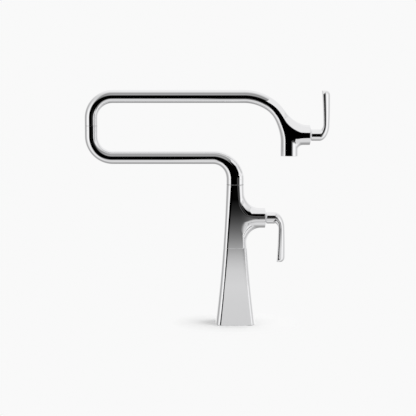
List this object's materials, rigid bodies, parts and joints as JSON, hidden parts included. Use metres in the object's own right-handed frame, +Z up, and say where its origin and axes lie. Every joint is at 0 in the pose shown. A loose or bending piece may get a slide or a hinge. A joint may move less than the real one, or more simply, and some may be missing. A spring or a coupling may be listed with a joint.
{
  "type": "deck mount pot filler",
  "caption": "Chrome deck mount pot filler: a tapered square column with a side lever, and two swivelling tube arms that fold above it to a levered outlet.",
  "frame": {"origin": "centre of the column's foot, on the deck's top face", "axes": "+Z up along the column, +X to the side that the valve bosses and levers point to in the folded pose, -Y to the front, which is the side that the levers open towards"},
  "size_m": [0.4153, 0.0656, 0.4945],
  "materials": {
    "chrome": "polished chrome plate",
    "brass": "machined brass",
    "steel": "stainless steel",
    "rubber": "matt black",
    "acetal": "moulded, matt",
    "ceramic": "lapped ceramic"
  },
  "bodies": {
    "column": {"base_shell": "chrome", "base_plate": "acetal", "base_gasket": "rubber", "valve_column": "chrome", "mounting_shank": "brass", "deck_rubber_washer": "rubber", "deck_steel_washer": "steel", "mounting_nut": "brass", "jack_screws": "steel", "inlet_pipe": "brass", "inlet_o_ring": "rubber", "column_post": "brass", "column_o_rings": "rubber", "column_glide_ring": "acetal", "main_cartridge_body": "brass", "main_cartridge_seal": "rubber", "main_fixed_disc": "ceramic", "main_bonnet_nut": "chrome"},
    "lower_arm": {"swivel_elbow": "chrome", "column_retaining_screw": "steel", "lower_arm_tube": "chrome", "elbow_post": "brass", "elbow_o_rings": "rubber", "elbow_ring": "chrome", "elbow_glide_ring": "acetal"},
    "upper_arm": {"upper_arm_tube": "chrome", "elbow_socket": "brass", "elbow_retaining_screw": "steel", "outlet_body": "chrome", "aerator_housing": "chrome", "aerator_insert": "acetal", "aerator_washer": "rubber", "outlet_cartridge_body": "brass", "outlet_cartridge_seal": "rubber", "outlet_fixed_disc": "ceramic", "outlet_bonnet_nut": "chrome"},
    "main_handle": {"main_moving_disc": "ceramic", "main_stem": "brass", "main_stem_o_ring": "rubber", "main_lever": "chrome", "main_lever_screw": "steel"},
    "outlet_handle": {"outlet_moving_disc": "ceramic", "outlet_stem": "brass", "outlet_stem_o_ring": "rubber", "outlet_lever": "chrome", "outlet_lever_screw": "steel"}
  },
  "joints": [
    {"name": "column_swivel", "type": "hinge", "parent": "column", "child": "lower_arm", "pos_m": [0, 0, 0.2368], "axis": [0, 0, 1], "continuous": true},
    {"name": "elbow_swivel", "type": "hinge", "parent": "lower_arm", "child": "upper_arm", "pos_m": [-0.2435, 0, 0.33585], "axis": [0, 0, 1], "continuous": true},
    {"name": "main_valve", "type": "hinge", "parent": "column", "child": "main_handle", "pos_m": [0.0512, 0, 0.1796], "axis": [-1, 0, 0], "range_deg": [0, 90]},
    {"name": "outlet_valve", "type": "hinge", "parent": "upper_arm", "child": "outlet_handle", "pos_m": [0.1265, 0, 0.3202], "axis": [1, 0, 0], "range_deg": [0, 90]}
  ]
}
